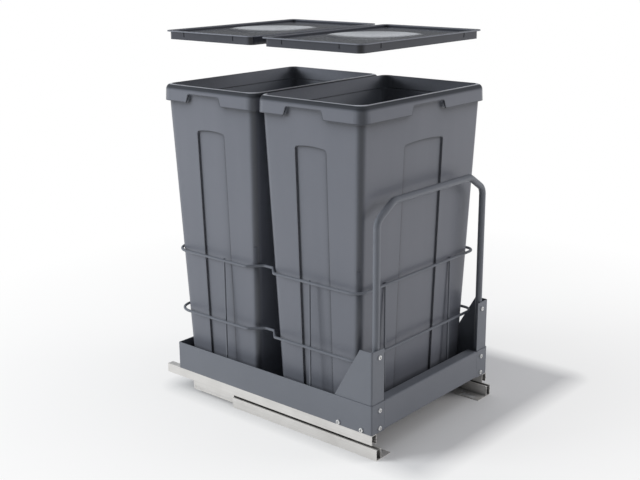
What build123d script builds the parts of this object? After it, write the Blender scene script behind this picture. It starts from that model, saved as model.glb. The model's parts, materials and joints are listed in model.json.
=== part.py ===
from build123d import *
import os

# Pull out trash cabinet: two bins with lids in a tray on two floor-mounted slides.
# Frame: X across, Y from the front to the back, Z up from the cabinet floor.
# The origin is on the floor, in the middle of the slides' overall length.

# ---- slides ----
FIXED_WALL_HEIGHT = 20.0
RAIL_GAP = 5.0
CARRIAGE_HEIGHT = 17.0
SLIDE_WIDTH = 13.0
SLIDE_SHEET = 1.2
RAIL_LIP = 1.8
FIXED_LENGTH = 334.0
FIXED_LEAD = 10.0
FLANGE_REACH = 27.0
FLANGE_SLOT_WIDTH = 7.0
FLANGE_SLOT_LENGTH = 16.0
FLANGE_SLOT_REACH = 8.0
FLANGE_SLOT_FIRST = 45.0
FLANGE_SLOT_LAST = 33.0
WINDOW_WIDTH = 11.0
WINDOW_LENGTH = 30.0
WINDOW_REACH = 18.5
WINDOW_START = 12.0
CARRIAGE_BEYOND = 35.0
MIDDLE_START = 53.0
MIDDLE_END = 67.0
MIDDLE_BELOW_BALLS = 5.5
MIDDLE_ABOVE_BALLS = 4.5
MIDDLE_SHEET = 1.2
BALL_DIAMETER = 3.8
BALL_CLEARANCE = 0.1
BALL_COUNT = 8
RACE_DEPTH = 0.5
LOWER_BALL_HEIGHT = 12.0
UPPER_BALL_DROP = 10.0
CAGE_SHEET = 0.8
CAGE_LENGTH = 200.0
CAGE_END_MARGIN = 9.0
CAGE_POCKET_CLEARANCE = 0.4
CAGE_LEG_BEYOND_BALLS = 4.4
CAGE_WEB_GAP = 1.7
LOWER_CAGE_END_GAP = 12.0
UPPER_CAGE_END_GAP = 56.0

# ---- tray ----
TRAY_WIDTH = 352.4
TRAY_DEPTH = 465.0
TRAY_HEIGHT = 52.7
TRAY_SHEET = 1.2
TRAY_BEND = 1.8
WRAP_WIDTH = 34.0
SEAM = 0.3
FRONT_LIP_GAP = 2.2
FRONT_LIP_DEPTH = 20.0
UPSTAND_HEIGHT = 14.0
UPSTAND_START = 84.0

# ---- uprights and hoop handle ----
UPRIGHT_SHEET = 1.5
UPRIGHT_BEND = 1.8
UPRIGHT_FLANGE_WIDTH = 32.8
UPRIGHT_HEIGHT = 146.0
UPRIGHT_TOP_DEPTH = 26.6
UPRIGHT_FOOT_RISE = 0.3
HOOP_DIAMETER = 12.0
HOOP_WALL = 1.2
HOOP_INSET = 20.9
HOOP_TOP = 387.0
HOOP_CORNER_RUN = 43.5
HOOP_CORNER_DROP = 27.0
HOOP_BEND = 20.0
HOOP_GAP = 0.05

# ---- screws ----
SCREW_HEAD_DIAMETER = 8.0
SCREW_HEAD_HEIGHT = 2.5
SCREW_SHANK_DIAMETER = 4.0
SCREW_CLEARANCE = 0.2
SCREW_RECESS_WIDTH = 1.0
SCREW_RECESS_LENGTH = 4.4
SCREW_RECESS_DEPTH = 1.4
FRONT_SCREW_LENGTH = 8.0
SIDE_SCREW_LENGTH = 6.0
TOP_SCREW_DROP = 13.0
MIDDLE_SCREW_DROP = 13.2
BOTTOM_SCREW_HEIGHT = 7.5
SIDE_SCREW_HEIGHT = 5.2
SIDE_SCREW_FIRST = 21.8
SIDE_SCREW_BACK_MARGIN = 9.0

# ---- bins ----
BIN_HEIGHT = 542.7
BIN_TOP_CORNER = 14.0
BIN_FOOT_CORNER = 13.0
BIN_DRAFT = 0.0373
BIN_WALL = 3.0
BIN_FOOT_ROUND = 3.0
RIM_SIDE_OVERHANG = 1.5
RIM_FRONT_SETBACK = 20.0
RIM_BACK_OVERHANG = 16.5
RIM_GAP = 1.0
RIM_SIDE_REACH = 5.9
RIM_FRONT_REACH = 6.5
RIM_CORNER = 20.0
RIM_TAPER = 3.0
RIM_ROUND = 10.0
RIM_DROP = 28.9
RIM_SHEET = 2.2
RIM_TOP_SHEET = 2.5
MOUTH_WALL = 3.0
MOUTH_CORNER = 19.0
LEDGE_DROP = 24.0
SIDE_CUTOUT_WIDTH = 85.0
SIDE_CUTOUT_SHIFT = 8.0
FRONT_CUTOUT_WIDTH = 97.0
CUTOUT_HEIGHT = 15.0
CUTOUT_SLANT = 5.0
CUTOUT_CORNER = 3.0
RECESS_DEPTH = 3.0
SIDE_RECESS_WIDTH = 66.0
FRONT_RECESS_WIDTH = 110.0
RECESS_DROP = 76.0
RECESS_ARCH = 3.0
RECESS_CORNER = 5.0

# ---- wire rings and posts ----
RING_WIRE = 5.0
POST_WIRE = 3.5
RING_INSET = 0.7
RING_BACK_GAP = 3.2
RING_FRONT_CORNER = 20.0
RING_BACK_CORNER = 35.0
UPPER_RING_HEIGHT = 237.8
LOWER_RING_HEIGHT = 121.0
RING_WEB_GAP = 0.4
JOG_GAP = 1.3
JOG_FLAT_HALF = 10.0
JOG_BEND = 6.0
WELD_GAP = 0.05
FRONT_POST_GAP = 0.6
POST_BEND = 5.0
FOOT_REACH = 13.0
FIRST_POST_OFFSET = 4.5
SECOND_POST_OFFSET = 24.0
FRONT_POST_SPREAD = 192.0

# ---- lids, lifted off the bins ----
LID_RISE = 93.7
LID_SIDE_SEAT = 2.2
LID_FRONT_SEAT = 1.35
LID_CORNER = 13.0
LID_SHEET = 2.0
LID_SIDE_PLAY = 2.3
LID_FRONT_PLAY = 3.9
LID_SKIRT_CORNER = 11.0
LID_SKIRT_HEIGHT = 15.3
LID_RECESS_DEPTH = 4.0
BOWL_MARGIN = 15.75
BOWL_DEPTH = 6.0
NOTCH_WIDTH = 4.0
NOTCH_HEIGHT = 8.0
NOTCH_DEPTH = 1.0
SIDE_NOTCH_SPREAD = 120.0
FRONT_NOTCH_SPREAD = 234.0

# ---- slide levels and planes ----
SLIDE_HEIGHT = FIXED_WALL_HEIGHT + RAIL_GAP + CARRIAGE_HEIGHT
CARRIAGE_LENGTH = TRAY_DEPTH + CARRIAGE_BEYOND
MIDDLE_LENGTH = CARRIAGE_LENGTH - MIDDLE_START - MIDDLE_END
FLANGE_SLOT_PITCH = FIXED_LENGTH - FLANGE_SLOT_FIRST - FLANGE_SLOT_LAST
UPPER_BALL_HEIGHT = SLIDE_HEIGHT - UPPER_BALL_DROP
MIDDLE_BOTTOM = LOWER_BALL_HEIGHT - MIDDLE_BELOW_BALLS
MIDDLE_TOP = UPPER_BALL_HEIGHT + MIDDLE_ABOVE_BALLS
BALL_CHANNEL = BALL_DIAMETER + 2 * BALL_CLEARANCE - 2 * RACE_DEPTH
MIDDLE_WIDTH = SLIDE_WIDTH - 2 * (SLIDE_SHEET + BALL_CHANNEL)
BALL_OFFSET = (MIDDLE_WIDTH + BALL_CHANNEL) / 2
GROOVE_RADIUS = BALL_DIAMETER / 2 + BALL_CLEARANCE
BALL_SPACING = (CAGE_LENGTH - 2 * CAGE_END_MARGIN) / (BALL_COUNT - 1)
LOWER_CAGE_START = FIXED_LENGTH - FIXED_LEAD - LOWER_CAGE_END_GAP - CAGE_LENGTH
UPPER_CAGE_START = MIDDLE_START + MIDDLE_LENGTH - UPPER_CAGE_END_GAP - CAGE_LENGTH

# ---- tray, upright and hoop planes ----
TRAY_FRONT = (FIXED_LEAD - CARRIAGE_LENGTH) / 2
TRAY_BACK = TRAY_FRONT + TRAY_DEPTH
TRAY_SIDE = TRAY_WIDTH / 2
TRAY_INSIDE = TRAY_SIDE - TRAY_SHEET
FLOOR_TOP = SLIDE_HEIGHT + TRAY_SHEET
TRAY_TOP = SLIDE_HEIGHT + TRAY_HEIGHT
SLIDE_OUTER = -TRAY_SIDE
SLIDE_INNER = SLIDE_OUTER + SLIDE_WIDTH
SLIDE_MIDDLE = (SLIDE_OUTER + SLIDE_INNER) / 2
UPRIGHT_FRONT = TRAY_FRONT + TRAY_SHEET
UPRIGHT_BACK_FACE = UPRIGHT_FRONT + UPRIGHT_SHEET
UPRIGHT_TOP = SLIDE_HEIGHT + UPRIGHT_HEIGHT
UPRIGHT_FOOT = TRAY_TOP + UPRIGHT_FOOT_RISE
UPRIGHT_WEB_INSIDE = TRAY_INSIDE - UPRIGHT_SHEET
HOOP_SIDE = TRAY_SIDE - HOOP_INSET
HOOP_PLANE = UPRIGHT_BACK_FACE + HOOP_GAP + HOOP_DIAMETER / 2
BEYOND = 1.0

# ---- bin and lid outlines ----
RIM_WIDTH = TRAY_WIDTH + 2 * RIM_SIDE_OVERHANG
RIM_DEPTH = (TRAY_DEPTH + RIM_BACK_OVERHANG - RIM_FRONT_SETBACK - RIM_GAP) / 2
BIN_WIDTH = RIM_WIDTH - 2 * RIM_SIDE_REACH
BIN_DEPTH = RIM_DEPTH - 2 * RIM_FRONT_REACH
MOUTH_WIDTH = BIN_WIDTH - 2 * MOUTH_WALL
MOUTH_DEPTH = BIN_DEPTH - 2 * MOUTH_WALL
FRONT_BIN_MIDDLE = RIM_FRONT_SETBACK + RIM_DEPTH / 2
REAR_BIN_MIDDLE = FRONT_BIN_MIDDLE + RIM_DEPTH + RIM_GAP
BIN_TOP = FLOOR_TOP + BIN_HEIGHT
LID_WIDTH = MOUTH_WIDTH + 2 * LID_SIDE_SEAT
LID_DEPTH = MOUTH_DEPTH + 2 * LID_FRONT_SEAT
LID_SKIRT_WIDTH = MOUTH_WIDTH - 2 * LID_SIDE_PLAY
LID_SKIRT_DEPTH = MOUTH_DEPTH - 2 * LID_FRONT_PLAY
LID_TOP_LEVEL = BIN_TOP + LID_RISE
BOWL_RADIUS = LID_SKIRT_DEPTH / 2 - LID_SHEET - BOWL_MARGIN

# ---- ring outline, fitted round the bins where they are widest inside it ----
POST_TOP = SLIDE_HEIGHT + UPPER_RING_HEIGHT + RING_WIRE / 2
BIN_LOSS_AT_RING = BIN_DRAFT * (BIN_TOP - POST_TOP)
BIN_HALF_DEPTH_AT_RING = BIN_DEPTH / 2 - BIN_LOSS_AT_RING
BIN_HALF_WIDTH_AT_RING = BIN_WIDTH / 2 - BIN_LOSS_AT_RING
POST_FRONT = FRONT_BIN_MIDDLE - BIN_HALF_DEPTH_AT_RING - FRONT_POST_GAP - POST_WIRE / 2
RING_FRONT = POST_FRONT - POST_WIRE / 2 - WELD_GAP - RING_WIRE / 2
RING_BACK = REAR_BIN_MIDDLE + BIN_HALF_DEPTH_AT_RING + RING_BACK_GAP + RING_WIRE / 2
RING_HALF_WIDTH = TRAY_SIDE - RING_INSET - RING_WIRE / 2
POST_SIDE = RING_HALF_WIDTH - RING_WIRE / 2 - WELD_GAP - POST_WIRE / 2
JOG_MIDDLE = (FRONT_BIN_MIDDLE + REAR_BIN_MIDDLE) / 2
BIN_FACE_TO_JOG = JOG_MIDDLE - FRONT_BIN_MIDDLE - BIN_HALF_DEPTH_AT_RING
BIN_CORNER_REACH = (
    BIN_HALF_WIDTH_AT_RING
    - BIN_FACE_TO_JOG
    - 2 * BIN_TOP_CORNER
    + (BIN_TOP_CORNER + JOG_GAP + RING_WIRE / 2) * 2**0.5
)
JOG_DEPTH = RING_HALF_WIDTH - JOG_FLAT_HALF - BIN_CORNER_REACH
JOG_SPREAD_HALF = JOG_FLAT_HALF + JOG_DEPTH

# ---- upright's slant, which clears the front corner of the lower ring ----
RING_CORNER_X = RING_HALF_WIDTH - RING_FRONT_CORNER
RING_OUTER_CORNER = RING_FRONT_CORNER + RING_WIRE / 2
WEB_REACH = UPRIGHT_WEB_INSIDE - RING_WEB_GAP - RING_CORNER_X
WEB_DEPTH_AT_RING = RING_FRONT + RING_FRONT_CORNER - (RING_OUTER_CORNER**2 - WEB_REACH**2) ** 0.5
WEB_SLOPE = (WEB_DEPTH_AT_RING - UPRIGHT_TOP_DEPTH) / (UPRIGHT_HEIGHT - LOWER_RING_HEIGHT)
UPRIGHT_FOOT_DEPTH = UPRIGHT_TOP_DEPTH + WEB_SLOPE * (UPRIGHT_TOP - UPRIGHT_FOOT)


def block(x_span, y_span, z_span, mode=Mode.ADD):
    """Box between two values on each axis."""
    with Locations([(sum(x_span) / 2, sum(y_span) / 2, sum(z_span) / 2)]):
        Box(
            x_span[1] - x_span[0],
            y_span[1] - y_span[0],
            z_span[1] - z_span[0],
            mode=mode,
        )


def folded_strip(corners, thickness, bend):
    """Face of a folded sheet whose outer side follows the corners."""
    with BuildLine() as outline:
        FilletPolyline(*corners, radius=bend + thickness)
        offset(amount=thickness, side=Side.LEFT)
    make_face(outline.edges())


def tapered_block(inset, foot, top):
    """Body that narrows towards the foot, a constant inset inside the bin's outer faces."""
    foot_level = FLOOR_TOP + foot
    top_level = FLOOR_TOP + top
    foot_loss = 2 * (BIN_DRAFT * (BIN_HEIGHT - foot) + inset)
    top_loss = 2 * (BIN_DRAFT * (BIN_HEIGHT - top) + inset)
    with BuildPart() as body:
        with BuildSketch(Plane.XY.offset(foot_level)):
            RectangleRounded(BIN_WIDTH - foot_loss, BIN_DEPTH - foot_loss, BIN_FOOT_CORNER - inset)
        with BuildSketch(Plane.XY.offset(top_level)):
            RectangleRounded(BIN_WIDTH - top_loss, BIN_DEPTH - top_loss, BIN_TOP_CORNER - inset)
        loft(ruled=True)
    return body.part


def arched_cross(growth):
    """Two crossing prisms with arched tops that mark the sunk panels on the four faces."""
    with BuildPart() as cross:
        panels = (
            (Plane.XZ, FRONT_RECESS_WIDTH / 2 + growth, RIM_DEPTH),
            (Plane.YZ, SIDE_RECESS_WIDTH / 2 + growth, RIM_WIDTH),
        )
        for plane, half, reach in panels:
            crown = BIN_TOP - RECESS_DROP + growth
            shoulder = crown - RECESS_ARCH
            with BuildSketch(plane) as panel:
                with BuildLine():
                    Polyline((-half, shoulder), (-half, 0), (half, 0), (half, shoulder))
                    ThreePointArc((half, shoulder), (0, crown), (-half, shoulder))
                make_face()
                fillet(
                    panel.vertices().sort_by(Axis.Y)[-2:],
                    radius=RECESS_CORNER + growth,
                )
            extrude(amount=reach, both=True)
    return cross.part


def ring_path(level):
    """Closed centre line of a wire ring with the two inward jogs between the bins."""
    half = RING_HALF_WIDTH
    front = TRAY_FRONT + RING_FRONT
    back = TRAY_FRONT + RING_BACK
    middle = TRAY_FRONT + JOG_MIDDLE
    right = [
        (half, front),
        (half, middle - JOG_SPREAD_HALF),
        (half - JOG_DEPTH, middle - JOG_FLAT_HALF),
        (half - JOG_DEPTH, middle + JOG_FLAT_HALF),
        (half, middle + JOG_SPREAD_HALF),
        (half, back),
    ]
    left = [(-x, y) for x, y in reversed(right)]
    with BuildSketch(Plane.XY.offset(level)) as outline:
        with BuildLine():
            Polyline(*right, *left, close=True)
        make_face()
        corners = outline.vertices().sort_by(Axis.Y)
        fillet(corners[:2], radius=RING_FRONT_CORNER)
        corners = outline.vertices().sort_by(Axis.Y)
        fillet(corners[-2:], radius=RING_BACK_CORNER)
        bends = outline.vertices().filter_by_position(
            Axis.Y, middle - JOG_SPREAD_HALF - BEYOND, middle + JOG_SPREAD_HALF + BEYOND
        )
        fillet(bends, radius=JOG_BEND)
    return outline.sketch.faces()[0].outer_wire()


def ball_places(height, start):
    """Ball centres on both sides of a left slide's middle rail."""
    first = TRAY_FRONT + start + (CAGE_LENGTH - BALL_SPACING * (BALL_COUNT - 1)) / 2
    return [
        (SLIDE_MIDDLE + side * BALL_OFFSET, first + step * BALL_SPACING, height)
        for side in (-1, 1)
        for step in range(BALL_COUNT)
    ]


def race_grooves(start, length, heights):
    """Round grooves that the balls run in, cut along a rail of a left slide."""
    for height in heights:
        with BuildSketch(Plane.XZ.offset(-(TRAY_FRONT + start - BEYOND))) as races:
            with Locations(
                (SLIDE_MIDDLE - BALL_OFFSET, height), (SLIDE_MIDDLE + BALL_OFFSET, height)
            ):
                Circle(GROOVE_RADIUS)
        extrude(races.sketch, amount=-(length + 2 * BEYOND), mode=Mode.SUBTRACT)


def ball_cage(start, ball_height, web_side):
    """Strip folded round one edge of the middle rail, with a pocket for each ball."""
    leg_inner = BALL_OFFSET - CAGE_SHEET / 2
    leg_outer = BALL_OFFSET + CAGE_SHEET / 2
    span = (TRAY_FRONT + start, TRAY_FRONT + start + CAGE_LENGTH)
    if web_side > 0:
        web_face = MIDDLE_TOP + CAGE_WEB_GAP
    else:
        web_face = MIDDLE_BOTTOM - CAGE_WEB_GAP
    leg_end = ball_height - web_side * CAGE_LEG_BEYOND_BALLS
    web = sorted((web_face, web_face + web_side * CAGE_SHEET))
    legs = sorted((leg_end, web_face + web_side * CAGE_SHEET))
    with BuildPart() as cage:
        block((SLIDE_MIDDLE - leg_outer, SLIDE_MIDDLE + leg_outer), span, web)
        block((SLIDE_MIDDLE - leg_outer, SLIDE_MIDDLE - leg_inner), span, legs)
        block((SLIDE_MIDDLE + leg_inner, SLIDE_MIDDLE + leg_outer), span, legs)
        with Locations(ball_places(ball_height, start)):
            Cylinder(
                BALL_DIAMETER / 2 + CAGE_POCKET_CLEARANCE,
                CAGE_SHEET + BEYOND,
                rotation=(0, 90, 0),
                mode=Mode.SUBTRACT,
            )
    return cage.part


def screw_shape(length):
    """Pan-head screw, head up along +Z, seated on the plane Z = 0."""
    with BuildPart() as screw:
        Cylinder(
            SCREW_HEAD_DIAMETER / 2,
            SCREW_HEAD_HEIGHT,
            align=(Align.CENTER, Align.CENTER, Align.MIN),
        )
        fillet(screw.edges().group_by(Axis.Z)[-1], radius=SCREW_HEAD_HEIGHT / 2)
        Cylinder(
            SCREW_SHANK_DIAMETER / 2,
            length,
            align=(Align.CENTER, Align.CENTER, Align.MAX),
        )
        with Locations((0, 0, SCREW_HEAD_HEIGHT)):
            for turn in (0, 90):
                Box(
                    SCREW_RECESS_LENGTH,
                    SCREW_RECESS_WIDTH,
                    2 * SCREW_RECESS_DEPTH,
                    rotation=(0, 0, turn),
                    mode=Mode.SUBTRACT,
                )
    return screw.part


FRONT_SCREW_PLACES = [
    (side * HOOP_SIDE, level)
    for side in (-1, 1)
    for level in (
        SLIDE_HEIGHT + BOTTOM_SCREW_HEIGHT,
        TRAY_TOP - MIDDLE_SCREW_DROP,
        UPRIGHT_TOP - TOP_SCREW_DROP,
    )
]
SIDE_SCREW_PLACES = [
    (TRAY_FRONT + SIDE_SCREW_FIRST, SLIDE_HEIGHT + SIDE_SCREW_HEIGHT),
    (
        TRAY_FRONT + UPRIGHT_FOOT_DEPTH - SIDE_SCREW_BACK_MARGIN,
        SLIDE_HEIGHT + SIDE_SCREW_HEIGHT,
    ),
]


def front_screw_holes(places, y_span):
    """Clearance holes along Y for the screws in the tray front."""
    for x, z in places:
        with Locations((x, sum(y_span) / 2, z)):
            Cylinder(
                SCREW_SHANK_DIAMETER / 2 + SCREW_CLEARANCE,
                y_span[1] - y_span[0],
                rotation=(90, 0, 0),
                mode=Mode.SUBTRACT,
            )


def side_screw_holes():
    """Clearance holes along X for the screws in the left side of the tray."""
    for y, z in SIDE_SCREW_PLACES:
        with Locations((-TRAY_SIDE, y, z)):
            Cylinder(
                SCREW_SHANK_DIAMETER / 2 + SCREW_CLEARANCE,
                2 * SIDE_SCREW_LENGTH,
                rotation=(0, 90, 0),
                mode=Mode.SUBTRACT,
            )


# ---- fixed rails ----
fixed_start = TRAY_FRONT - FIXED_LEAD
fixed_span = (fixed_start, fixed_start + FIXED_LENGTH)
flange_edge = SLIDE_INNER + FLANGE_REACH
with BuildPart() as fixed_rail_left:
    block((SLIDE_OUTER, flange_edge), fixed_span, (0, SLIDE_SHEET))
    for wall_start, wall_end, lip_start, lip_end in (
        (SLIDE_OUTER, SLIDE_OUTER + SLIDE_SHEET, SLIDE_OUTER, SLIDE_OUTER + SLIDE_SHEET + RAIL_LIP),
        (SLIDE_INNER - SLIDE_SHEET, SLIDE_INNER, SLIDE_INNER - SLIDE_SHEET - RAIL_LIP, SLIDE_INNER),
    ):
        block((wall_start, wall_end), fixed_span, (0, FIXED_WALL_HEIGHT))
        block(
            (lip_start, lip_end),
            fixed_span,
            (FIXED_WALL_HEIGHT - SLIDE_SHEET, FIXED_WALL_HEIGHT),
        )
    race_grooves(-FIXED_LEAD, FIXED_LENGTH, (LOWER_BALL_HEIGHT,))
    slot_start = fixed_start + FLANGE_SLOT_FIRST
    with BuildSketch(Plane.XY):
        with Locations(
            (SLIDE_INNER + FLANGE_SLOT_REACH, slot_start),
            (SLIDE_INNER + FLANGE_SLOT_REACH, slot_start + FLANGE_SLOT_PITCH),
        ):
            SlotOverall(FLANGE_SLOT_LENGTH, FLANGE_SLOT_WIDTH, rotation=90)
        with Locations(
            (SLIDE_INNER + WINDOW_REACH, fixed_start + WINDOW_START + WINDOW_LENGTH / 2)
        ):
            Rectangle(WINDOW_WIDTH, WINDOW_LENGTH)
    extrude(amount=SLIDE_SHEET, mode=Mode.SUBTRACT)
with BuildPart() as fixed_rail_right:
    mirror(fixed_rail_left.part, about=Plane.YZ)

# ---- middle rails ----
middle_span = (TRAY_FRONT + MIDDLE_START, TRAY_FRONT + MIDDLE_START + MIDDLE_LENGTH)
with BuildPart() as middle_rail_left:
    block(
        (SLIDE_MIDDLE - MIDDLE_WIDTH / 2, SLIDE_MIDDLE + MIDDLE_WIDTH / 2),
        middle_span,
        (MIDDLE_BOTTOM, MIDDLE_TOP),
    )
    block(
        (
            SLIDE_MIDDLE - MIDDLE_WIDTH / 2 + MIDDLE_SHEET,
            SLIDE_MIDDLE + MIDDLE_WIDTH / 2 - MIDDLE_SHEET,
        ),
        middle_span,
        (MIDDLE_BOTTOM + MIDDLE_SHEET, MIDDLE_TOP - MIDDLE_SHEET),
        mode=Mode.SUBTRACT,
    )
    race_grooves(MIDDLE_START, MIDDLE_LENGTH, (LOWER_BALL_HEIGHT, UPPER_BALL_HEIGHT))
with BuildPart() as middle_rail_right:
    mirror(middle_rail_left.part, about=Plane.YZ)

# ---- carriage rails ----
carriage_span = (TRAY_FRONT, TRAY_FRONT + CARRIAGE_LENGTH)
carriage_foot = SLIDE_HEIGHT - CARRIAGE_HEIGHT
with BuildPart() as carriage_rail_left:
    block(
        (SLIDE_OUTER, SLIDE_INNER),
        carriage_span,
        (SLIDE_HEIGHT - SLIDE_SHEET, SLIDE_HEIGHT),
    )
    for wall_start, wall_end, lip_start, lip_end in (
        (SLIDE_OUTER, SLIDE_OUTER + SLIDE_SHEET, SLIDE_OUTER, SLIDE_OUTER + SLIDE_SHEET + RAIL_LIP),
        (SLIDE_INNER - SLIDE_SHEET, SLIDE_INNER, SLIDE_INNER - SLIDE_SHEET - RAIL_LIP, SLIDE_INNER),
    ):
        block((wall_start, wall_end), carriage_span, (carriage_foot, SLIDE_HEIGHT))
        block((lip_start, lip_end), carriage_span, (carriage_foot, carriage_foot + SLIDE_SHEET))
    race_grooves(0, CARRIAGE_LENGTH, (UPPER_BALL_HEIGHT,))
with BuildPart() as carriage_rail_right:
    mirror(carriage_rail_left.part, about=Plane.YZ)

# ---- ball cages and balls ----
with BuildPart() as lower_cage_left:
    add(ball_cage(LOWER_CAGE_START, LOWER_BALL_HEIGHT, -1))
with BuildPart() as lower_cage_right:
    mirror(lower_cage_left.part, about=Plane.YZ)
with BuildPart() as upper_cage_left:
    add(ball_cage(UPPER_CAGE_START, UPPER_BALL_HEIGHT, 1))
with BuildPart() as upper_cage_right:
    mirror(upper_cage_left.part, about=Plane.YZ)
with BuildPart() as lower_balls:
    left_places = ball_places(LOWER_BALL_HEIGHT, LOWER_CAGE_START)
    with Locations(left_places + [(-x, y, z) for x, y, z in left_places]):
        Sphere(BALL_DIAMETER / 2)
with BuildPart() as upper_balls:
    left_places = ball_places(UPPER_BALL_HEIGHT, UPPER_CAGE_START)
    with Locations(left_places + [(-x, y, z) for x, y, z in left_places]):
        Sphere(BALL_DIAMETER / 2)

# ---- tray ----
front_wall_half = TRAY_SIDE - WRAP_WIDTH - SEAM
with BuildPart() as tray_pan:
    with BuildSketch(Plane.YZ):
        folded_strip(
            [
                (TRAY_FRONT + FRONT_LIP_DEPTH, TRAY_TOP),
                (TRAY_FRONT, TRAY_TOP),
                (TRAY_FRONT, SLIDE_HEIGHT),
                (TRAY_BACK, SLIDE_HEIGHT),
                (TRAY_BACK, TRAY_TOP),
            ],
            TRAY_SHEET,
            TRAY_BEND,
        )
    extrude(amount=front_wall_half, both=True)
    for side in (-1, 1):
        wall_end = side * front_wall_half
        lip_end = side * (TRAY_INSIDE - UPRIGHT_FLANGE_WIDTH - FRONT_LIP_GAP)
        block(
            sorted((lip_end, wall_end + side * BEYOND)),
            (TRAY_FRONT + TRAY_SHEET, TRAY_FRONT + FRONT_LIP_DEPTH + BEYOND),
            (TRAY_TOP - TRAY_SHEET - TRAY_BEND, TRAY_TOP + BEYOND),
            mode=Mode.SUBTRACT,
        )
        outer = side * TRAY_INSIDE
        block(
            sorted((wall_end, outer)),
            (UPRIGHT_FRONT, TRAY_BACK - TRAY_BEND - TRAY_SHEET),
            (SLIDE_HEIGHT, FLOOR_TOP),
        )
        block(
            sorted((outer - side * TRAY_SHEET, outer)),
            (TRAY_FRONT + UPSTAND_START, TRAY_BACK - TRAY_BEND - TRAY_SHEET),
            (SLIDE_HEIGHT, SLIDE_HEIGHT + UPSTAND_HEIGHT),
        )
    with BuildSketch(Plane.YZ.offset(-TRAY_INSIDE)):
        folded_strip(
            [
                (TRAY_BACK - 2 * TRAY_BEND - TRAY_SHEET, SLIDE_HEIGHT),
                (TRAY_BACK, SLIDE_HEIGHT),
                (TRAY_BACK, TRAY_TOP),
            ],
            TRAY_SHEET,
            TRAY_BEND,
        )
    extrude(amount=2 * TRAY_INSIDE)
    upright_edges = tray_pan.edges().filter_by(Axis.Z)
    for side in (-1, 1):
        floor_corner = (side * TRAY_INSIDE, UPRIGHT_FRONT, SLIDE_HEIGHT)
        fillet(upright_edges.sort_by_distance(floor_corner)[0], radius=TRAY_BEND)

with BuildPart() as side_panel_left:
    with BuildSketch(Plane.XY.offset(SLIDE_HEIGHT)):
        folded_strip(
            [
                (-TRAY_SIDE, TRAY_BACK),
                (-TRAY_SIDE, TRAY_FRONT),
                (-TRAY_SIDE + WRAP_WIDTH, TRAY_FRONT),
            ],
            TRAY_SHEET,
            TRAY_BEND,
        )
    extrude(amount=TRAY_HEIGHT)
    front_screw_holes(FRONT_SCREW_PLACES[:2], (TRAY_FRONT - BEYOND, UPRIGHT_FRONT + BEYOND))
    side_screw_holes()
with BuildPart() as side_panel_right:
    mirror(side_panel_left.part, about=Plane.YZ)

# ---- uprights ----
with BuildPart() as upright_left:
    with BuildSketch(Plane.XY.offset(FLOOR_TOP)):
        folded_strip(
            [
                (-TRAY_INSIDE, TRAY_FRONT + UPRIGHT_FOOT_DEPTH),
                (-TRAY_INSIDE, UPRIGHT_FRONT),
                (-TRAY_INSIDE + UPRIGHT_FLANGE_WIDTH, UPRIGHT_FRONT),
            ],
            UPRIGHT_SHEET,
            UPRIGHT_BEND,
        )
    extrude(amount=UPRIGHT_TOP - FLOOR_TOP)
    with BuildSketch(Plane.YZ.offset(-TRAY_INSIDE)):
        with BuildLine():
            Polyline(
                (TRAY_FRONT + UPRIGHT_TOP_DEPTH, UPRIGHT_TOP),
                (TRAY_FRONT + UPRIGHT_FOOT_DEPTH, UPRIGHT_FOOT),
                (TRAY_FRONT + UPRIGHT_FOOT_DEPTH + BEYOND, UPRIGHT_FOOT),
                (TRAY_FRONT + UPRIGHT_FOOT_DEPTH + BEYOND, UPRIGHT_TOP + BEYOND),
                (TRAY_FRONT + UPRIGHT_TOP_DEPTH, UPRIGHT_TOP + BEYOND),
                close=True,
            )
        make_face()
    extrude(amount=UPRIGHT_SHEET + BEYOND, both=True, mode=Mode.SUBTRACT)
    front_screw_holes(FRONT_SCREW_PLACES[:3], (TRAY_FRONT, UPRIGHT_BACK_FACE + BEYOND))
    side_screw_holes()
with BuildPart() as upright_right:
    mirror(upright_left.part, about=Plane.YZ)

# ---- hoop handle ----
hoop_level = SLIDE_HEIGHT + HOOP_TOP
with BuildPart() as hoop_handle:
    with BuildLine() as hoop_line:
        FilletPolyline(
            (-HOOP_SIDE, HOOP_PLANE, FLOOR_TOP),
            (-HOOP_SIDE, HOOP_PLANE, hoop_level - HOOP_CORNER_DROP),
            (HOOP_CORNER_RUN - HOOP_SIDE, HOOP_PLANE, hoop_level),
            (HOOP_SIDE - HOOP_CORNER_RUN, HOOP_PLANE, hoop_level),
            (HOOP_SIDE, HOOP_PLANE, hoop_level - HOOP_CORNER_DROP),
            (HOOP_SIDE, HOOP_PLANE, FLOOR_TOP),
            radius=HOOP_BEND,
        )
    with BuildSketch(Plane((-HOOP_SIDE, HOOP_PLANE, FLOOR_TOP))):
        Circle(HOOP_DIAMETER / 2)
        Circle(HOOP_DIAMETER / 2 - HOOP_WALL, mode=Mode.SUBTRACT)
    sweep(path=hoop_line.wire())
    front_screw_holes(FRONT_SCREW_PLACES, (UPRIGHT_FRONT, HOOP_PLANE))

# ---- wire rings ----
with BuildPart() as upper_ring:
    with BuildSketch(
        Plane(
            (0, TRAY_FRONT + RING_FRONT, SLIDE_HEIGHT + UPPER_RING_HEIGHT),
            x_dir=(0, 1, 0),
            z_dir=(1, 0, 0),
        )
    ):
        Circle(RING_WIRE / 2)
    sweep(path=ring_path(SLIDE_HEIGHT + UPPER_RING_HEIGHT))
with BuildPart() as lower_ring:
    with Locations((0, 0, LOWER_RING_HEIGHT - UPPER_RING_HEIGHT)):
        add(upper_ring.part)

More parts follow.
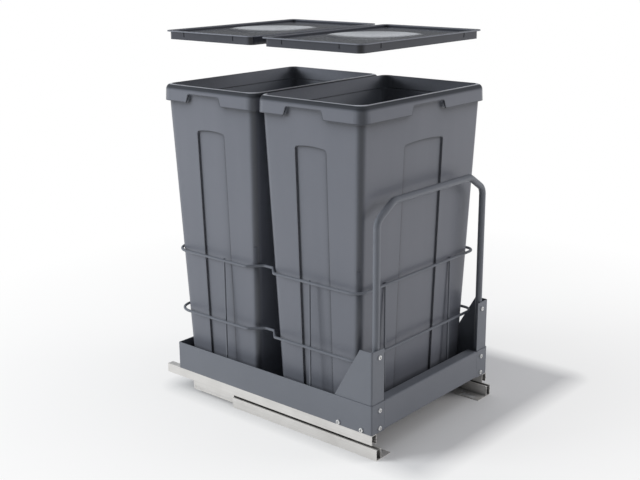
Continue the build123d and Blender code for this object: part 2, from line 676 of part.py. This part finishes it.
# ---- posts ----
foot_level = FLOOR_TOP + POST_WIRE / 2
post_row = TRAY_FRONT + POST_FRONT
side_rows = (
    TRAY_FRONT + FRONT_BIN_MIDDLE + FIRST_POST_OFFSET,
    TRAY_FRONT + REAR_BIN_MIDDLE - SECOND_POST_OFFSET,
)
with BuildPart() as side_posts:
    for side in (-1, 1):
        for row in side_rows:
            with BuildLine() as post_line:
                FilletPolyline(
                    (side * POST_SIDE, row, POST_TOP),
                    (side * POST_SIDE, row, foot_level),
                    (side * (POST_SIDE - FOOT_REACH), row, foot_level),
                    radius=POST_BEND,
                )
            with BuildSketch(Plane((side * POST_SIDE, row, POST_TOP))):
                Circle(POST_WIRE / 2)
            sweep(path=post_line.wire())
with BuildPart() as front_posts:
    for side in (-1, 1):
        with BuildLine() as post_line:
            FilletPolyline(
                (side * FRONT_POST_SPREAD / 2, post_row, POST_TOP),
                (side * FRONT_POST_SPREAD / 2, post_row, foot_level),
                (side * (FRONT_POST_SPREAD / 2 - FOOT_REACH), post_row, foot_level),
                radius=POST_BEND,
            )
        with BuildSketch(Plane((side * FRONT_POST_SPREAD / 2, post_row, POST_TOP))):
            Circle(POST_WIRE / 2)
        sweep(path=post_line.wire())

# ---- screws ----
front_screw = screw_shape(FRONT_SCREW_LENGTH)
side_screw = screw_shape(SIDE_SCREW_LENGTH)
with BuildPart() as front_screws:
    for x, z in FRONT_SCREW_PLACES:
        seat = UPRIGHT_FRONT if z > TRAY_TOP else TRAY_FRONT
        with Locations(Location((x, seat, z), (90, 0, 0))):
            add(front_screw)
with BuildPart() as side_screws:
    for y, z in SIDE_SCREW_PLACES:
        for side in (-1, 1):
            with Locations(Location((side * TRAY_SIDE, y, z), (0, side * 90, 0))):
                add(side_screw)

# ---- bins ----
rim_foot = BIN_TOP - RIM_DROP
wall_below_rim = BIN_HEIGHT - RIM_TOP_SHEET
with BuildPart() as rim_underside:
    with BuildSketch(Plane.XY.offset(rim_foot)):
        RectangleRounded(
            RIM_WIDTH - 2 * RIM_SHEET, RIM_DEPTH - 2 * RIM_SHEET, RIM_CORNER - RIM_SHEET
        )
    extrude(amount=RIM_DROP - RIM_TOP_SHEET, taper=RIM_TAPER)
    fillet(rim_underside.edges().group_by(Axis.Z)[-1], radius=RIM_ROUND - RIM_SHEET)

with BuildPart() as bin_outside:
    with BuildSketch(Plane.XY.offset(rim_foot)):
        RectangleRounded(RIM_WIDTH, RIM_DEPTH, RIM_CORNER)
    extrude(amount=RIM_DROP, taper=RIM_TAPER)
    fillet(bin_outside.edges().group_by(Axis.Z)[-1], radius=RIM_ROUND)
    add(rim_underside.part, mode=Mode.SUBTRACT)
    for plane, middle, foot_half in (
        (Plane.XZ, 0, FRONT_CUTOUT_WIDTH / 2),
        (Plane.YZ, SIDE_CUTOUT_SHIFT, SIDE_CUTOUT_WIDTH / 2),
    ):
        with BuildSketch(plane) as cutout:
            with BuildLine():
                Polyline(
                    (middle - foot_half, rim_foot - BEYOND),
                    (middle - foot_half, rim_foot),
                    (middle - foot_half + CUTOUT_SLANT, rim_foot + CUTOUT_HEIGHT),
                    (middle + foot_half - CUTOUT_SLANT, rim_foot + CUTOUT_HEIGHT),
                    (middle + foot_half, rim_foot),
                    (middle + foot_half, rim_foot - BEYOND),
                    close=True,
                )
            make_face()
            fillet(cutout.vertices().sort_by(Axis.Y)[-2:], radius=CUTOUT_CORNER)
        extrude(amount=RIM_WIDTH, both=True, mode=Mode.SUBTRACT)
    add(tapered_block(0, 0, wall_below_rim))

with BuildPart() as panel_cutter:
    add(arched_cross(0))
    add(tapered_block(RECESS_DEPTH, -BEYOND, BIN_HEIGHT), mode=Mode.SUBTRACT)

with BuildPart() as panel_backing:
    add(arched_cross(BIN_WALL))
    add(tapered_block(RECESS_DEPTH + BIN_WALL, 0, BIN_HEIGHT), mode=Mode.SUBTRACT)

with BuildPart() as bin_cavity:
    add(tapered_block(BIN_WALL, BIN_WALL, BIN_HEIGHT - LEDGE_DROP))
    add(panel_backing.part, mode=Mode.SUBTRACT)
    with BuildSketch(Plane.XY.offset(BIN_TOP - LEDGE_DROP)):
        RectangleRounded(MOUTH_WIDTH, MOUTH_DEPTH, MOUTH_CORNER)
    extrude(amount=LEDGE_DROP + BEYOND)

with BuildPart() as bin_shape:
    add(bin_outside.part)
    fillet(bin_shape.faces().sort_by(Axis.Z)[0].edges(), radius=BIN_FOOT_ROUND)
    add(panel_cutter.part, mode=Mode.SUBTRACT)
    add(bin_cavity.part, mode=Mode.SUBTRACT)

with BuildPart() as front_bin:
    with Locations((0, TRAY_FRONT + FRONT_BIN_MIDDLE, 0)):
        add(bin_shape.part)
with BuildPart() as rear_bin:
    with Locations((0, TRAY_FRONT + REAR_BIN_MIDDLE, 0)):
        add(bin_shape.part)

# ---- lids ----
skirt_foot = LID_TOP_LEVEL - LID_SKIRT_HEIGHT
panel_top = LID_TOP_LEVEL - LID_RECESS_DEPTH
panel_foot = panel_top - LID_SHEET
with BuildPart() as lid_shape:
    with BuildSketch(Plane.XY.offset(skirt_foot)):
        RectangleRounded(LID_SKIRT_WIDTH, LID_SKIRT_DEPTH, LID_SKIRT_CORNER)
    extrude(amount=LID_SKIRT_HEIGHT)
    with BuildSketch(Plane.XY.offset(LID_TOP_LEVEL - LID_SHEET)):
        RectangleRounded(LID_WIDTH, LID_DEPTH, LID_CORNER)
    extrude(amount=LID_SHEET)
    with BuildSketch(Plane.XY.offset(panel_top)):
        RectangleRounded(
            LID_SKIRT_WIDTH - 2 * LID_SHEET,
            LID_SKIRT_DEPTH - 2 * LID_SHEET,
            LID_SKIRT_CORNER - LID_SHEET,
        )
    extrude(amount=LID_RECESS_DEPTH, mode=Mode.SUBTRACT)
    with BuildSketch(Plane.XY.offset(skirt_foot)):
        RectangleRounded(
            LID_SKIRT_WIDTH - 2 * LID_SHEET,
            LID_SKIRT_DEPTH - 2 * LID_SHEET,
            LID_SKIRT_CORNER - LID_SHEET,
        )
    extrude(amount=panel_foot - skirt_foot, mode=Mode.SUBTRACT)
    for level, mode in ((panel_foot, Mode.ADD), (panel_top, Mode.SUBTRACT)):
        with BuildSketch(Plane.XZ):
            with BuildLine():
                Polyline((0, level - BOWL_DEPTH), (0, level), (BOWL_RADIUS, level))
                RadiusArc(
                    (BOWL_RADIUS, level),
                    (0, level - BOWL_DEPTH),
                    (BOWL_RADIUS**2 + BOWL_DEPTH**2) / (2 * BOWL_DEPTH),
                )
            make_face()
        revolve(axis=Axis.Z, mode=mode)
    notch_level = LID_TOP_LEVEL - LID_SHEET - NOTCH_HEIGHT / 2
    for side in (-1, 1):
        with Locations(
            (side * LID_SKIRT_WIDTH / 2, -SIDE_NOTCH_SPREAD / 2, notch_level),
            (side * LID_SKIRT_WIDTH / 2, SIDE_NOTCH_SPREAD / 2, notch_level),
        ):
            Box(2 * NOTCH_DEPTH, NOTCH_WIDTH, NOTCH_HEIGHT, mode=Mode.SUBTRACT)
        with Locations(
            (-FRONT_NOTCH_SPREAD / 2, side * LID_SKIRT_DEPTH / 2, notch_level),
            (FRONT_NOTCH_SPREAD / 2, side * LID_SKIRT_DEPTH / 2, notch_level),
        ):
            Box(NOTCH_WIDTH, 2 * NOTCH_DEPTH, NOTCH_HEIGHT, mode=Mode.SUBTRACT)

with BuildPart() as front_lid:
    with Locations((0, TRAY_FRONT + FRONT_BIN_MIDDLE, 0)):
        add(lid_shape.part)
with BuildPart() as rear_lid:
    with Locations((0, TRAY_FRONT + REAR_BIN_MIDDLE, 0)):
        add(lid_shape.part)

# ---- labels and files ----
pieces = {
    "fixed_rail_left": fixed_rail_left,
    "fixed_rail_right": fixed_rail_right,
    "middle_rail_left": middle_rail_left,
    "middle_rail_right": middle_rail_right,
    "carriage_rail_left": carriage_rail_left,
    "carriage_rail_right": carriage_rail_right,
    "lower_cage_left": lower_cage_left,
    "lower_cage_right": lower_cage_right,
    "upper_cage_left": upper_cage_left,
    "upper_cage_right": upper_cage_right,
    "lower_balls": lower_balls,
    "upper_balls": upper_balls,
    "tray_pan": tray_pan,
    "side_panel_left": side_panel_left,
    "side_panel_right": side_panel_right,
    "upright_left": upright_left,
    "upright_right": upright_right,
    "hoop_handle": hoop_handle,
    "upper_ring": upper_ring,
    "lower_ring": lower_ring,
    "side_posts": side_posts,
    "front_posts": front_posts,
    "front_screws": front_screws,
    "side_screws": side_screws,
    "front_bin": front_bin,
    "rear_bin": rear_bin,
    "front_lid": front_lid,
    "rear_lid": rear_lid,
}
os.makedirs("parts", exist_ok=True)
for name, piece in pieces.items():
    piece.part.label = name
    export_step(piece.part, f"parts/{name}.step")
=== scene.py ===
import json
import math

import bmesh
import bpy
from mathutils import Matrix, Vector

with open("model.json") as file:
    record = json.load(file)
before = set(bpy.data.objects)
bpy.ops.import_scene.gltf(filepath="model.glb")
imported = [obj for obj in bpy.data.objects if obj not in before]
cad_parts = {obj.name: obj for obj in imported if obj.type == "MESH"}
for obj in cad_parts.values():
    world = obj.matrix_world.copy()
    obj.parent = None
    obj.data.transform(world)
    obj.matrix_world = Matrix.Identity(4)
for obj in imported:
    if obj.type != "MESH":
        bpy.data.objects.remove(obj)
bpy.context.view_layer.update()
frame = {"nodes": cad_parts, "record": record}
nodes = frame["nodes"]


# ---- material writing ----
EDGE_SAMPLES = 6
OPENNESS_SAMPLES = 8
CREASE_START = 0.05
MOTTLE_LOW = 0.3
MOTTLE_HIGH = 0.7
CORNER_START = 0.22
CORNER_FULL = 0.48


class Value:
    """A node socket that takes part in arithmetic."""

    def __init__(self, finish, socket):
        self.finish = finish
        self.socket = socket

    def __add__(self, other):
        return self.finish.math("ADD", self, other)

    def __mul__(self, other):
        return self.finish.math("MULTIPLY", self, other)

    def __radd__(self, other):
        return self.finish.math("ADD", other, self)

    def __rsub__(self, other):
        return self.finish.math("SUBTRACT", other, self)

    def __lt__(self, other):
        return self.finish.math("LESS_THAN", self, other)


class Outputs:
    """The output sockets of one node."""

    def __init__(self, finish, made):
        self.finish = finish
        self.made = made

    def __getitem__(self, name):
        return Value(self.finish, self.made.outputs[name])


class Finish:
    """A material being written, or the world."""

    def __init__(self, name, holder=None):
        self.owner = holder or bpy.data.materials.new(name)
        self.owner.use_nodes = True
        self.tree = self.owner.node_tree
        self.tree.nodes.clear()

    def node(self, kind, settings=None, inputs=None):
        """Adds a node: its settings first, then the values or links of its sockets."""
        made = self.tree.nodes.new(kind)
        for name, value in (settings or {}).items():
            setattr(made, name, value)
        for name, value in (inputs or {}).items():
            socket = made.inputs[name]
            if isinstance(value, Value):
                self.tree.links.new(value.socket, socket)
            elif isinstance(value, tuple) and socket.type == "RGBA":
                socket.default_value = (*value, 1.0)
            else:
                socket.default_value = value
        return Outputs(self, made)

    def math(self, operation, *values):
        made = self.node("ShaderNodeMath", {"operation": operation}, dict(enumerate(values)))
        return made["Value"]

    def vector(self, operation, *values, output="Vector"):
        made = self.node("ShaderNodeVectorMath", {"operation": operation}, dict(enumerate(values)))
        return made[output]

    def axes(self, vector):
        """The X, Y and Z of a vector."""
        return self.node("ShaderNodeSeparateXYZ", None, {0: vector})

    def coords(self):
        return self.node("ShaderNodeTexCoord")["Object"]

    def facing(self):
        return self.node("ShaderNodeNewGeometry")["Normal"]

    def place(self, scale=(1.0, 1.0, 1.0)):
        """Object coordinates, stretched by a scale on each axis."""
        return self.node("ShaderNodeMapping", None, {"Vector": self.coords(), "Scale": scale})["Vector"]

    def cloud(self, where, scale=1.0, detail=2.0, roughness=0.5):
        return self.node(
            "ShaderNodeTexNoise",
            None,
            {"Vector": where, "Scale": scale, "Detail": detail, "Roughness": roughness},
        )["Fac"]

    def spread(self, value, low, high, to_low=0.0, to_high=1.0):
        """Stretches a band of a value to another band, clamped."""
        return self.node(
            "ShaderNodeMapRange",
            {"clamp": True},
            {"Value": value, "From Min": low, "From Max": high, "To Min": to_low, "To Max": to_high},
        )["Result"]

    def mottle(self, value):
        """Spreads the middle of a cloud's values over the whole range."""
        return self.spread(value, MOTTLE_LOW, MOTTLE_HIGH)

    def blend(self, factor, first, second):
        return self.node(
            "ShaderNodeMix", {"data_type": "RGBA"}, {"Factor": factor, 6: first, 7: second}
        )[2]

    def rounded(self, radius):
        """The normal of the surface with its edges rounded."""
        return self.node("ShaderNodeBevel", {"samples": EDGE_SAMPLES}, {"Radius": radius})["Normal"]

    def bump(self, height, distance, strength, normal=None):
        inputs = {"Height": height, "Distance": distance, "Strength": strength}
        if normal:
            inputs["Normal"] = normal
        return self.node("ShaderNodeBump", None, inputs)["Normal"]

    def openness(self, reach, only_local=True):
        """How much of the view from the surface is free, within a reach."""
        return self.node(
            "ShaderNodeAmbientOcclusion",
            {"samples": OPENNESS_SAMPLES, "only_local": only_local},
            {"Distance": reach},
        )["AO"]

    def crease(self, radius, full):
        """How near a sharp edge or step the surface is, from 0 to 1."""
        likeness = self.vector("DOT_PRODUCT", self.rounded(radius), self.facing(), output="Value")
        return self.spread(1.0 - likeness, full * CREASE_START, full)

    def upright_corner(self):
        """How near the surface is to the middle of a rounded upright corner, from 0 to 1."""
        facing = self.axes(self.facing())
        return self.spread(self.math("ABSOLUTE", facing["X"] * facing["Y"]), CORNER_START, CORNER_FULL)

    def moulded_grain(self, grain_scale, grain_depth, wave_depth, softness):
        """Fine moulded grain and slow waves over edges rounded by a small radius."""
        where = self.place()
        grain = self.cloud(where, scale=grain_scale, detail=3.0, roughness=0.6)
        waves = self.cloud(where, scale=14.0, detail=1.0)
        fine = self.bump(grain, grain_depth, strength=0.5, normal=self.rounded(softness))
        return self.bump(waves, wave_depth, strength=0.12, normal=fine)

    def surface(self, inputs):
        shader = self.node("ShaderNodeBsdfPrincipled", None, inputs)["BSDF"]
        self.node("ShaderNodeOutputMaterial", None, {"Surface": shader})
        return self.owner


# ---- finishes ----
# Lengths are in metres, heights are above the cabinet floor with the unit at rest.
BIN_TOP = 0.5859
RIM_SHADE_START = BIN_TOP - 0.016
RIM_SHADE_FULL = BIN_TOP - 0.006
LID_TOP = 0.6796
LIP_START = LID_TOP - 0.0022
LIP_FULL = LID_TOP - 0.0014
FIXED_RAIL_END = 0.079
RAIL_GAP_BOTTOM = 0.0175
RAIL_GAP_TOP = 0.0270
GAP_BLUR = 0.0015
INSIDE_REACH = 0.3
CREVICE_SHADE_REACH = 0.05
ZINC_SHADE_REACH = 0.02
BIN_OUTLINE = 0.0028
BIN_EDGE = 0.0008
LID_EDGE = 0.0006
ENAMEL_EDGE = 0.0007
SCREW_EDGE = 0.0008

BIN_DARK = (0.125, 0.133, 0.156)
BIN_LIGHT = (0.145, 0.152, 0.176)
BIN_SPECK = (0.20, 0.205, 0.22)
BIN_SCUFF = (0.24, 0.245, 0.26)
# The next four bin colours are painted light: a fill light for the inside, shade, shade for crevices
# and outlines, and a highlight for the mouth's crest.
BIN_INSIDE_FILL_LIGHT = (0.33, 0.35, 0.39)
BIN_SHADE = (0.020, 0.023, 0.028)
BIN_CREVICE_SHADE = (0.020, 0.021, 0.025)
BIN_CREST_HIGHLIGHT = (0.62, 0.64, 0.68)
LID_DARK = (0.040, 0.043, 0.053)
LID_LIGHT = (0.052, 0.055, 0.067)
LID_SHADE = (0.004, 0.004, 0.006)
# A painted highlight along the lid's lip.
LID_LIP_HIGHLIGHT = (0.180, 0.190, 0.220)
ENAMEL_DARK = (0.130, 0.139, 0.160)
ENAMEL_LIGHT = (0.144, 0.154, 0.176)
ENAMEL_SPECK = (0.25, 0.26, 0.29)
ZINC_DARK = (0.64, 0.622, 0.595)
ZINC_LIGHT = (0.83, 0.812, 0.785)
# Painted shade for the rails' hollows and running gap.
ZINC_SHADE = (0.014, 0.013, 0.012)
SCREW_DARK = (0.80, 0.80, 0.79)
SCREW_LIGHT = (0.92, 0.92, 0.91)
SCREW_RECESS_SHADE = (0.02, 0.02, 0.02)
BALL_DARK = (0.70, 0.69, 0.66)
BALL_LIGHT = (0.82, 0.82, 0.81)
CAGE_DARK = (0.46, 0.46, 0.43)
CAGE_LIGHT = (0.56, 0.56, 0.52)


def bin_plastic():
    """Dark grey moulded polypropylene with a fine matte grain, a painted fill light inside the bin,
    painted shade and a painted highlight.
    """
    finish = Finish("bin plastic")
    where = finish.place()
    height = finish.axes(finish.coords())["Z"]
    upward = finish.axes(finish.facing())["Z"]
    clouds = finish.cloud(where, scale=5.0, detail=3.0)
    flow = finish.cloud(finish.place((30.0, 30.0, 2.5)))
    speck = finish.cloud(where, scale=900.0, detail=1.0)
    rubs = finish.cloud(finish.place((9.0, 9.0, 60.0)), detail=6.0, roughness=0.7)
    scuff = finish.spread(rubs, 0.66, 0.74)
    # Painted fill light: the bin is made paler where it is closed in, inside the bin, standing in for
    # light that reaches the inside.
    inside = finish.spread(finish.openness(INSIDE_REACH), 0.35, 0.75, 1.0, 0.0)
    outside = 1.0 - inside
    at_rim = finish.spread(height, RIM_SHADE_START, RIM_SHADE_FULL)
    below_rim = 1.0 - at_rim
    crown = at_rim * finish.spread(upward, 0.02, 0.42)
    # Painted highlight: a pale line along the crest of the bin's mouth, on faces that point up.
    crest = at_rim * finish.spread(upward, 0.86, 0.96)
    corner = finish.upright_corner()
    # Painted shade: dark outlines along sharp steps, such as the edges of the recessed panels, away
    # from the rounded corners.
    outline = finish.crease(BIN_OUTLINE, full=0.05) * (1.0 - corner)
    # Painted shade: darker in crevices and under the rim's overhang, where the view from the surface is
    # closed in.
    crevice_shade = finish.spread(finish.openness(CREVICE_SHADE_REACH), 0.72, 0.99, 0.75, 0.0)
    body = finish.blend(finish.mottle(clouds * 0.6 + flow * 0.4), BIN_DARK, BIN_LIGHT)
    body = finish.blend(finish.spread(speck, 0.55, 0.75, 0.0, 0.12), body, BIN_SPECK)
    body = finish.blend(scuff * 0.10, body, BIN_SCUFF)
    body = finish.blend(inside * 0.85, body, BIN_INSIDE_FILL_LIGHT)
    body = finish.blend(crown * 0.85, body, BIN_SHADE)
    body = finish.blend(corner * outside * 0.55, body, BIN_SHADE)
    body = finish.blend(outline * below_rim * 0.9, body, BIN_CREVICE_SHADE)
    body = finish.blend(crevice_shade * below_rim * outside, body, BIN_CREVICE_SHADE)
    body = finish.blend(crest, body, BIN_CREST_HIGHLIGHT)
    return finish.surface(
        {
            "Base Color": body,
            "Roughness": 0.33 + clouds * 0.08 + scuff * 0.10,
            "IOR": 1.45,
            "Normal": finish.moulded_grain(1100.0, 0.00012, wave_depth=0.0016, softness=BIN_EDGE),
        }
    )


def lid_plastic():
    """Anthracite moulded polypropylene, smoother than the bins, with painted shade at the upright
    corners and a painted highlight along the lip.
    """
    finish = Finish("lid plastic")
    height = finish.axes(finish.coords())["Z"]
    upward = finish.axes(finish.facing())["Z"]
    clouds = finish.cloud(finish.place(), scale=7.0, detail=3.0)
    streaks = finish.cloud(finish.place((12.0, 40.0, 12.0)), detail=5.0, roughness=0.65)
    smears = finish.spread(streaks, 0.58, 0.72)
    at_lip = finish.spread(height, LIP_START, LIP_FULL)
    # Painted highlight: a paler band along the top edge of the lid, on faces that don't point up.
    lip_highlight = at_lip * finish.spread(upward, 0.4, 0.9, 1.0, 0.0)
    body = finish.blend(finish.mottle(clouds), LID_DARK, LID_LIGHT)
    body = finish.blend(finish.upright_corner() * 0.7, body, LID_SHADE)
    body = finish.blend(lip_highlight, body, LID_LIP_HIGHLIGHT)
    return finish.surface(
        {
            "Base Color": body,
            "Roughness": 0.10 + clouds * 0.04 + smears * 0.05,
            "IOR": 1.38,
            "Normal": finish.moulded_grain(1500.0, 0.00004, wave_depth=0.0003, softness=LID_EDGE),
        }
    )


def grey_enamel():
    """Grey powder coat with a fine orange peel and pale specks."""
    finish = Finish("grey enamel")
    where = finish.place()
    peel = finish.cloud(where, scale=420.0)
    speck = finish.cloud(where, scale=1600.0, detail=1.0)
    clouds = finish.cloud(where, scale=8.0, detail=3.0)
    body = finish.blend(finish.mottle(clouds), ENAMEL_DARK, ENAMEL_LIGHT)
    body = finish.blend(finish.spread(speck, 0.60, 0.72, 0.0, 0.18), body, ENAMEL_SPECK)
    return finish.surface(
        {
            "Base Color": body,
            "Roughness": 0.36 + clouds * 0.08 + peel * 0.06,
            "IOR": 1.5,
            "Normal": finish.bump(peel, 0.00018, strength=0.45, normal=finish.rounded(ENAMEL_EDGE)),
        }
    )


def rolled_zinc(name, gap_shaded):
    """Zinc plate on rolled steel, drawn along the rails, with painted shade in its hollows and, where
    asked, in the running gap between the rails.
    """
    finish = Finish(name)
    drawn = finish.cloud(finish.place((900.0, 7.0, 900.0)), detail=4.0, roughness=0.65)
    clouds = finish.cloud(finish.place(), scale=22.0, detail=4.0)
    # Painted shade: darker and less metallic in the rails' hollows, where the view from the surface is
    # closed in.
    film_and_shade = finish.spread(finish.openness(ZINC_SHADE_REACH), 0.35, 0.75, 0.85, 0.0)
    if gap_shaded:
        # Painted shade in the running gap between the rails, over the length of the fixed rail.
        place = finish.axes(finish.coords())
        above = finish.spread(place["Z"], RAIL_GAP_BOTTOM - GAP_BLUR, RAIL_GAP_BOTTOM)
        below = finish.spread(place["Z"], RAIL_GAP_TOP, RAIL_GAP_TOP + GAP_BLUR, 1.0, 0.0)
        band = above * below * (place["Y"] < FIXED_RAIL_END + clouds * 0.001)
        film_and_shade = 1.0 - (1.0 - film_and_shade) * (1.0 - band)
    body = finish.blend(finish.mottle(clouds * 0.5 + drawn * 0.5), ZINC_DARK, ZINC_LIGHT)
    return finish.surface(
        {
            "Base Color": finish.blend(film_and_shade, body, ZINC_SHADE),
            "Metallic": 0.6 - film_and_shade * 0.6,
            "Roughness": 0.34 + drawn * 0.14 + clouds * 0.06 + film_and_shade * 0.25,
            "Normal": finish.bump(drawn, 0.00006, strength=0.5),
        }
    )


def screw_zinc():
    """Bright plated screws with painted shade in their recesses."""
    finish = Finish("screw zinc")
    clouds = finish.cloud(finish.place(), scale=260.0, detail=3.0)
    body = finish.blend(clouds, SCREW_DARK, SCREW_LIGHT)
    # Painted shade in the recesses of the screw heads.
    body = finish.blend(finish.crease(SCREW_EDGE, full=0.08) * 0.9, body, SCREW_RECESS_SHADE)
    return finish.surface(
        {"Base Color": body, "Metallic": 0.5, "Roughness": 0.22 + clouds * 0.14}
    )


def bearing_steel():
    """Polished balls with a film of grease."""
    finish = Finish("bearing steel")
    film_and_shade = finish.cloud(finish.place(), scale=500.0)
    body = finish.blend(film_and_shade, BALL_DARK, BALL_LIGHT)
    return finish.surface({"Base Color": body, "Metallic": 1.0, "Roughness": 0.10 + film_and_shade * 0.15})


def cage_plastic():
    """Pale moulded cage strip."""
    finish = Finish("cage plastic")
    clouds = finish.cloud(finish.place(), scale=120.0, detail=3.0)
    body = finish.blend(clouds, CAGE_DARK, CAGE_LIGHT)
    return finish.surface({"Base Color": body, "Roughness": 0.45 + clouds * 0.1})


FINISHES = {
    "bin_plastic": bin_plastic(),
    "lid_plastic": lid_plastic(),
    "grey_enamel": grey_enamel(),
    "zinc_steel": rolled_zinc("rolled zinc", False),
    "screw_steel": screw_zinc(),
    "ball_steel": bearing_steel(),
    "cage_plastic": cage_plastic(),
}
for part in frame["record"]["subparts"]:
    mesh = nodes[part["node"]].data
    mesh.materials.clear()
    mesh.materials.append(FINISHES[part["material_slot"]])
# The middle rails also get painted shade in their running gap.
gap_shaded_zinc = rolled_zinc("gap shaded zinc", True)
for side in ("left", "right"):
    nodes["middle_rail_" + side].data.materials[0] = gap_shaded_zinc


# ---- floor, light and camera ----
WHITE = (1.0, 1.0, 1.0)
FLOOR_PAINT = (0.80, 0.80, 0.80)
# Painted contact shade for the floor near the object.
FLOOR_CONTACT_SHADE = (0.58, 0.58, 0.58)
FLOOR_HALF = 30.0
GREY_CENTRE = (0.09, -0.05, 0.0)
GREY_HALF = (0.245, 0.27, 0.0)
CONTACT_REACH = 0.08
SKY_HORIZON = 0.42
SKY_OVERHEAD = 0.52
SKY_DIM_SIDE = 0.35
SKY_TINT = (0.93, 0.955, 1.0)
CAMERA_SIDE = (-0.76, -0.65, 0.0)


def pale_floor():
    """Pale floor that fades to white away from the object."""
    finish = Finish("pale floor")
    beside = finish.vector("ABSOLUTE", finish.vector("SUBTRACT", finish.coords(), GREY_CENTRE))
    beyond = finish.vector("MAXIMUM", finish.vector("SUBTRACT", beside, GREY_HALF), (0.0, 0.0, 0.0))
    reach = finish.vector("LENGTH", beyond, output="Value")
    white = finish.spread(reach, 0.0, 0.055, 0.0, 0.66) + finish.spread(reach, 0.055, 0.9, 0.0, 0.34)
    rays = finish.node("ShaderNodeLightPath")
    seen = finish.math("MAXIMUM", rays["Is Camera Ray"], rays["Is Glossy Ray"])
    # Painted shade: the floor is darker where the view from it is closed in, next to and under the
    # object.
    free = finish.spread(finish.openness(CONTACT_REACH, only_local=False), 0.1, 0.8)
    paint_and_shade = finish.blend(free, FLOOR_CONTACT_SHADE, FLOOR_PAINT)
    matte = finish.node("ShaderNodeBsdfDiffuse", None, {"Color": paint_and_shade})["BSDF"]
    glow = finish.node("ShaderNodeEmission", None, {"Color": WHITE, "Strength": 1.0})["Emission"]
    mixed = finish.node("ShaderNodeMixShader", None, {0: white * seen, 1: matte, 2: glow})["Shader"]
    finish.node("ShaderNodeOutputMaterial", None, {"Surface": mixed})
    finish.owner.cycles.emission_sampling = "NONE"
    shape = bmesh.new()
    bmesh.ops.create_grid(shape, x_segments=1, y_segments=1, size=FLOOR_HALF)
    mesh = bpy.data.meshes.new("floor")
    shape.to_mesh(mesh)
    shape.free()
    mesh.materials.append(finish.owner)
    floor = bpy.data.objects.new("floor", mesh)
    bpy.context.scene.collection.objects.link(floor)


def studio_sky():
    """Dim surrounding light, seen as a white background, and white in mirrors near the horizon."""
    finish = Finish("sky", bpy.data.worlds.new("sky"))
    bpy.context.scene.world = finish.owner
    where = finish.node("ShaderNodeTexCoord")["Generated"]
    height = finish.axes(where)["Z"]
    along = finish.math("ABSOLUTE", finish.vector("DOT_PRODUCT", where, CAMERA_SIDE, output="Value"))
    room = finish.spread(height, 0.0, 0.6, SKY_HORIZON, SKY_OVERHEAD)
    room = room * finish.spread(along, 0.3, 0.95, 1.0, SKY_DIM_SIDE)
    rays = finish.node("ShaderNodeLightPath")
    mirrored = rays["Is Glossy Ray"] * finish.spread(height, 0.0, 0.04, 1.0, 0.0)
    white = finish.math("MAXIMUM", rays["Is Camera Ray"], mirrored)
    level = room + (1.0 - room) * white
    tint = finish.blend(rays["Is Camera Ray"], SKY_TINT, WHITE)
    back = finish.node("ShaderNodeBackground", None, {"Color": tint, "Strength": level})["Background"]
    finish.node("ShaderNodeOutputWorld", None, {"Surface": back})


def softbox(name, place, target, size, watts, colour, mirrored):
    """Rectangular soft light that faces a target, and shows in glossy surfaces or doesn't."""
    data = bpy.data.lights.new(name, "AREA")
    data.shape = "RECTANGLE"
    data.size, data.size_y = size
    data.energy = watts
    data.color = colour
    lamp = bpy.data.objects.new(name, data)
    bpy.context.scene.collection.objects.link(lamp)
    lamp.location = place
    lamp.visible_glossy = mirrored
    lamp.rotation_euler = (Vector(place) - Vector(target)).to_track_quat("Z", "Y").to_euler()


pale_floor()
studio_sky()
UNIT_MIDDLE = (0.0, 0.0, 0.3)
LID_MIDDLE = (0.0, 0.0, 0.68)
softbox("left key", (-2.05, 1.75, 1.2), UNIT_MIDDLE, (1.3, 1.0), 67.0, (0.96, 0.985, 1.0), False)
softbox("right fill", (1.9, -2.1, 1.15), UNIT_MIDDLE, (1.5, 1.0), 41.0, (1.0, 0.97, 0.96), False)
softbox("back light", (1.8, 1.45, 1.36), LID_MIDDLE, (1.9, 0.5), 3.4, (0.92, 0.955, 1.0), True)

CAMERA_PLACE = (-1.4493, -1.2243, 0.8313)
CAMERA_TURN = -49.466
CAMERA_TILT = 74.2744
CAMERA_ROLL = -0.386
camera_data = bpy.data.cameras.new("camera")
camera_data.sensor_width = 36.0
camera_data.lens = 59.93
camera = bpy.data.objects.new("camera", camera_data)
bpy.context.scene.collection.objects.link(camera)
camera.matrix_world = (
    Matrix.Translation(CAMERA_PLACE)
    @ Matrix.Rotation(math.radians(CAMERA_TURN), 4, "Z")
    @ Matrix.Rotation(math.radians(CAMERA_TILT), 4, "X")
    @ Matrix.Rotation(math.radians(CAMERA_ROLL), 4, "Z")
)
bpy.context.scene.camera = camera
bpy.context.scene.view_settings.view_transform = "Standard"
